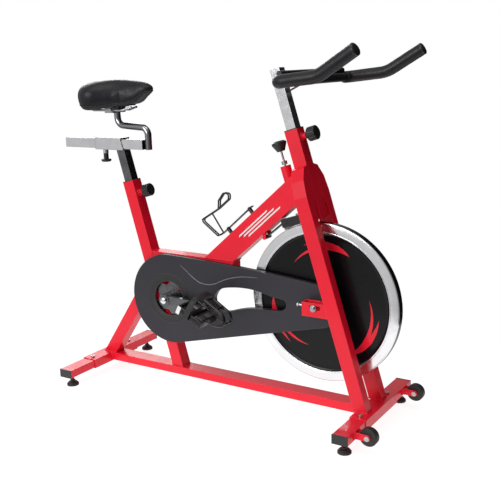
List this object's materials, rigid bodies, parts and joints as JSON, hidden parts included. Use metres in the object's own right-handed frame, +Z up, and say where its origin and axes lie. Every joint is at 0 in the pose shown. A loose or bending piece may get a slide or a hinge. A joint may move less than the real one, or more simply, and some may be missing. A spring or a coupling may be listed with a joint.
{
  "type": "indoor spin bike",
  "caption": "Indoor spin bike: red square-tube frame, chain-driven chromed flywheel in a fork, long black chain guard, sliding saddle and handlebar posts, toe-clip pedals, screw brake.",
  "frame": {"origin": "on the floor, under the middle of the machine's bounding box", "axes": "+X forward towards the flywheel and handlebar, +Y to the rider's left, +Z up"},
  "size_m": [1.175, 0.4684, 1.046],
  "materials": {
    "red_paint": "gloss",
    "black_paint": "satin",
    "chrome": "polished",
    "steel": "satin",
    "cast_wheel": "gloss",
    "guard_plastic": "satin",
    "black_plastic": "satin",
    "white_plastic": "matte",
    "grip_foam": "matte",
    "rubber": "matte",
    "saddle_vinyl": "gloss",
    "felt": "matte"
  },
  "bodies": {
    "frame": {"lower_beam": "red_paint", "cross_sleeves": "red_paint", "stabilizer_tubes": "red_paint", "stabilizer_end_caps": "black_plastic", "base_bolts": "steel", "roller_brackets": "red_paint", "seat_tube": "red_paint", "rear_strut": "red_paint", "mid_tube": "red_paint", "diagonal_tube": "red_paint", "head_tube": "red_paint", "fork_leg_right": "red_paint", "fork_leg_left": "red_paint", "welded_bosses": "red_paint", "post_bushings": "black_plastic", "bottom_bracket_shell": "red_paint", "bottom_bracket_bearings": "steel", "axle_brackets": "red_paint", "axle_nuts": "steel", "flywheel_axle": "steel", "chain_guard_outer": "guard_plastic", "chain_guard_inner": "guard_plastic", "guard_screws": "steel", "drive_chain": "steel", "bottle_cage": "black_paint"},
    "flywheel_assembly": {"flywheel": "cast_wheel", "flywheel_hub": "steel", "sprocket": "steel"},
    "crankset": {"crank_axle": "steel", "crank_arms": "black_paint", "chainring": "steel"},
    "right_pedal": {"pedal_right": "black_plastic"},
    "left_pedal": {"pedal_left": "black_plastic"},
    "seat_post_assembly": {"seat_post": "chrome", "slider_collar": "chrome"},
    "seat_slider": {"slider_bar": "chrome", "saddle_stem": "chrome"},
    "saddle": {"saddle_clamp": "steel", "saddle_rails": "steel", "saddle_shell": "black_plastic", "saddle_cushion": "saddle_vinyl"},
    "handlebar_assembly": {"bar_post": "chrome", "bar_bracket": "black_paint", "handlebar": "black_paint", "foam_grips": "grip_foam"},
    "seat_pin": {"seat_pull_pin": "black_plastic"},
    "bar_pin": {"bar_pull_pin": "black_plastic"},
    "slider_pin": {"slider_pull_pin": "black_plastic"},
    "brake_pusher": {"brake_foot": "steel"},
    "brake_screw": {"brake_rod": "steel", "brake_knob": "black_plastic"},
    "brake_lever": {"brake_arm": "black_paint", "brake_shoe": "black_paint", "brake_pad": "felt"},
    "foot_rr": {"foot_rear_right": "rubber"},
    "foot_rl": {"foot_rear_left": "rubber"},
    "foot_fr": {"foot_front_right": "rubber"},
    "foot_fl": {"foot_front_left": "rubber"},
    "right_roller": {"roller_right": "rubber"},
    "left_roller": {"roller_left": "rubber"}
  },
  "joints": [
    {"name": "flywheel_spin", "type": "hinge", "parent": "frame", "child": "flywheel_assembly", "pos_m": [0.355, 0, 0.3403], "axis": [0, 1, 0], "continuous": true, "deforming": ["drive_chain"]},
    {"name": "crank_spin", "type": "hinge", "parent": "frame", "child": "crankset", "pos_m": [-0.17205, 0, 0.29], "axis": [0, 1, 0], "continuous": true},
    {"name": "pedal_right_spin", "type": "hinge", "parent": "crankset", "child": "right_pedal", "pos_m": [-0.00205, -0.122, 0.29], "axis": [0, 1, 0], "continuous": true},
    {"name": "pedal_left_spin", "type": "hinge", "parent": "crankset", "child": "left_pedal", "pos_m": [-0.34205, 0.122, 0.29], "axis": [0, 1, 0], "continuous": true},
    {"name": "seat_height", "type": "slide", "parent": "frame", "child": "seat_post_assembly", "axis": [-0.2689, 0, 0.9632], "range_m": [-0.06, 0.14]},
    {"name": "seat_fore_aft", "type": "slide", "parent": "seat_post_assembly", "child": "seat_slider", "axis": [1, 0, 0], "range_m": [-0.065, 0.13]},
    {"name": "saddle_tilt", "type": "hinge", "parent": "seat_slider", "child": "saddle", "pos_m": [-0.371, 0, 0.871], "axis": [0, 1, 0], "range_deg": [-12, 12]},
    {"name": "bar_height", "type": "slide", "parent": "frame", "child": "handlebar_assembly", "axis": [-0.2924, 0, 0.9563], "range_m": [-0.045, 0.11]},
    {"name": "seat_pin_pull", "type": "slide", "parent": "frame", "child": "seat_pin", "axis": [0.9632, 0, 0.2689], "range_m": [0, 0.01], "stiffness_N_per_m": 900, "springref_m": -0.006},
    {"name": "bar_pin_pull", "type": "slide", "parent": "frame", "child": "bar_pin", "axis": [0.9563, 0, 0.2924], "range_m": [0, 0.01], "stiffness_N_per_m": 900, "springref_m": -0.006},
    {"name": "slider_pin_pull", "type": "slide", "parent": "seat_post_assembly", "child": "slider_pin", "axis": [0, 0, -1], "range_m": [0, 0.01], "stiffness_N_per_m": 900, "springref_m": -0.006},
    {"name": "brake_turn", "type": "hinge", "parent": "brake_pusher", "child": "brake_screw", "pos_m": [0.21818, 0, 0.77424], "axis": [0.3007, 0, -0.9537], "range_deg": [-541, 271]},
    {"name": "brake_feed", "type": "slide", "parent": "frame", "child": "brake_pusher", "axis": [0.3007, 0, -0.9537], "range_m": [-0.00225, 0.00112]},
    {"name": "brake_press", "type": "hinge", "parent": "frame", "child": "brake_lever", "pos_m": [0.17, 0, 0.512], "axis": [0, 1, 0], "range_deg": [-2.5, 1.2]},
    {"name": "right_roller_spin", "type": "hinge", "parent": "frame", "child": "right_roller", "pos_m": [0.568, -0.1665, 0.0495], "axis": [0, 1, 0], "continuous": true},
    {"name": "left_roller_spin", "type": "hinge", "parent": "frame", "child": "left_roller", "pos_m": [0.568, 0.1665, 0.0495], "axis": [0, 1, 0], "continuous": true},
    {"name": "foot_rear_right_screw", "type": "slide", "parent": "frame", "child": "foot_rr", "axis": [0, 0, -1], "range_m": [0, 0.012]},
    {"name": "foot_rear_left_screw", "type": "slide", "parent": "frame", "child": "foot_rl", "axis": [0, 0, -1], "range_m": [0, 0.012]},
    {"name": "foot_front_right_screw", "type": "slide", "parent": "frame", "child": "foot_fr", "axis": [0, 0, -1], "range_m": [0, 0.012]},
    {"name": "foot_front_left_screw", "type": "slide", "parent": "frame", "child": "foot_fl", "axis": [0, 0, -1], "range_m": [0, 0.012]}
  ],
  "couplings": [
    {"joint": "crank_spin", "follows": "flywheel_spin", "ratio": 0.38462},
    {"joint": "brake_turn", "follows": "brake_feed", "rad_per_m": 4188.8},
    {"joint": "brake_press", "follows": "brake_feed", "rad_per_m": 8.0124}
  ]
}
